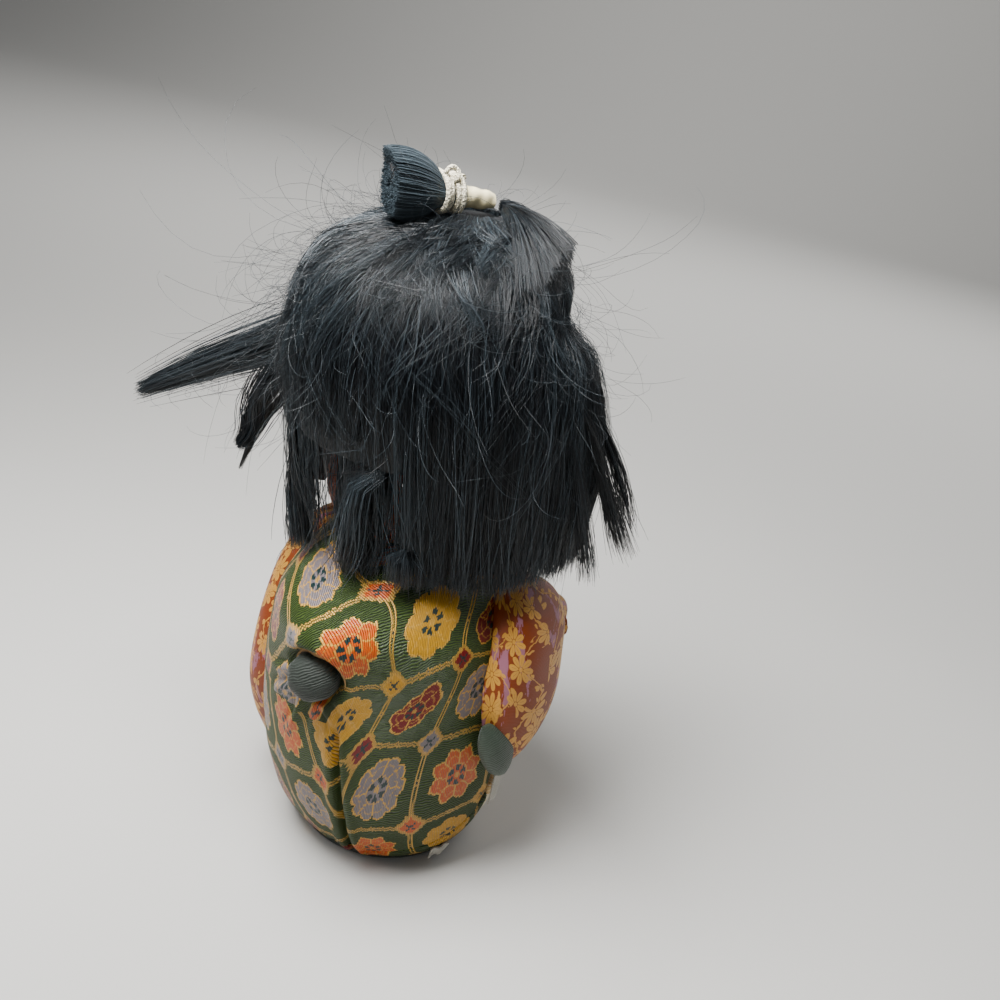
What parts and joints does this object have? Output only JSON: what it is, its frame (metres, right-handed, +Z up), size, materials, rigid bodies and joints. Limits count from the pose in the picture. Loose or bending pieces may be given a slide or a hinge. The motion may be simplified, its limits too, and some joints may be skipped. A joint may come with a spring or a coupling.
{
  "type": "kimekomi doll",
  "caption": "Standing kimekomi doll in a padded brocade robe with grooved cloth panels, hanging sleeves, a topknot and bobbed silk hair; the head turns on a peg.",
  "frame": {"origin": "centre of the robe form on the flat face under its base", "axes": "+Z up through the top of the head, -Y the way the body faces, -X the doll's right hand"},
  "size_m": [0.1186, 0.0949, 0.1914],
  "materials": {
    "body_paste": "dull pressed sawdust paste",
    "base_felt": "dull felt paper",
    "brocade": "woven silk brocade, soft sheen",
    "orange_satin": "silk satin with woven flowers, satin sheen",
    "orange_crepe": "matt silk crepe",
    "cream_satin": "pale silk, soft sheen",
    "green_silk": "ribbed plain silk",
    "white_silk": "matt white silk",
    "chalk_white": "shell-white coat over paste, eggshell sheen",
    "black_hair": "silk fibre, soft sheen",
    "ivory_wrap": "smooth thread binding",
    "white_cord": "braided crepe cord",
    "peg_wood": "plain turned wood",
    "steel_wire": "drawn wire"
  },
  "bodies": {
    "body": {"body_core": "body_paste", "base_cover": "base_felt", "hem_roll": "cream_satin", "coat_back": "brocade", "coat_front_right": "brocade", "coat_front_left": "brocade", "kimono_front": "orange_satin", "sash_front": "green_silk", "skirt_front": "cream_satin", "skirt_right": "brocade", "skirt_left": "brocade", "coat_lining_strip": "white_silk", "sash_knot": "green_silk", "sash_end_right": "green_silk", "collar_ring": "orange_crepe", "under_collar": "white_silk", "sleeve_core_right": "body_paste", "sleeve_right": "orange_satin", "cuff_lining_right": "cream_satin", "hand_right": "chalk_white", "hand_pin_right": "steel_wire", "sleeve_core_left": "body_paste", "sleeve_left": "orange_satin", "cuff_lining_left": "cream_satin", "hand_left": "chalk_white", "hand_pin_left": "steel_wire"},
    "peg": {"neck_peg": "peg_wood"},
    "head": {"head": "chalk_white", "hair_crown": "black_hair", "hair_side_right": "black_hair", "hair_side_left": "black_hair", "hair_nape": "black_hair", "hair_fringe": "black_hair", "topknot_tail": "black_hair", "hair_lock_flyaway": "black_hair", "hair_lock_curl": "black_hair", "hair_lock_thin": "black_hair", "hair_lock_left": "black_hair", "hair_lock_nape": "black_hair", "topknot_wrap": "ivory_wrap", "topknot_cord": "white_cord", "topknot_bow": "white_cord"}
  },
  "joints": [
    {"name": "head_lift", "type": "slide", "parent": "body", "child": "peg", "axis": [0, 0, 1], "range_m": [0, 0.025]},
    {"name": "head_turn", "type": "hinge", "parent": "peg", "child": "head", "pos_m": [0, -0.008, 0.096], "axis": [0, 0, 1], "range_deg": [-15, 75]}
  ]
}
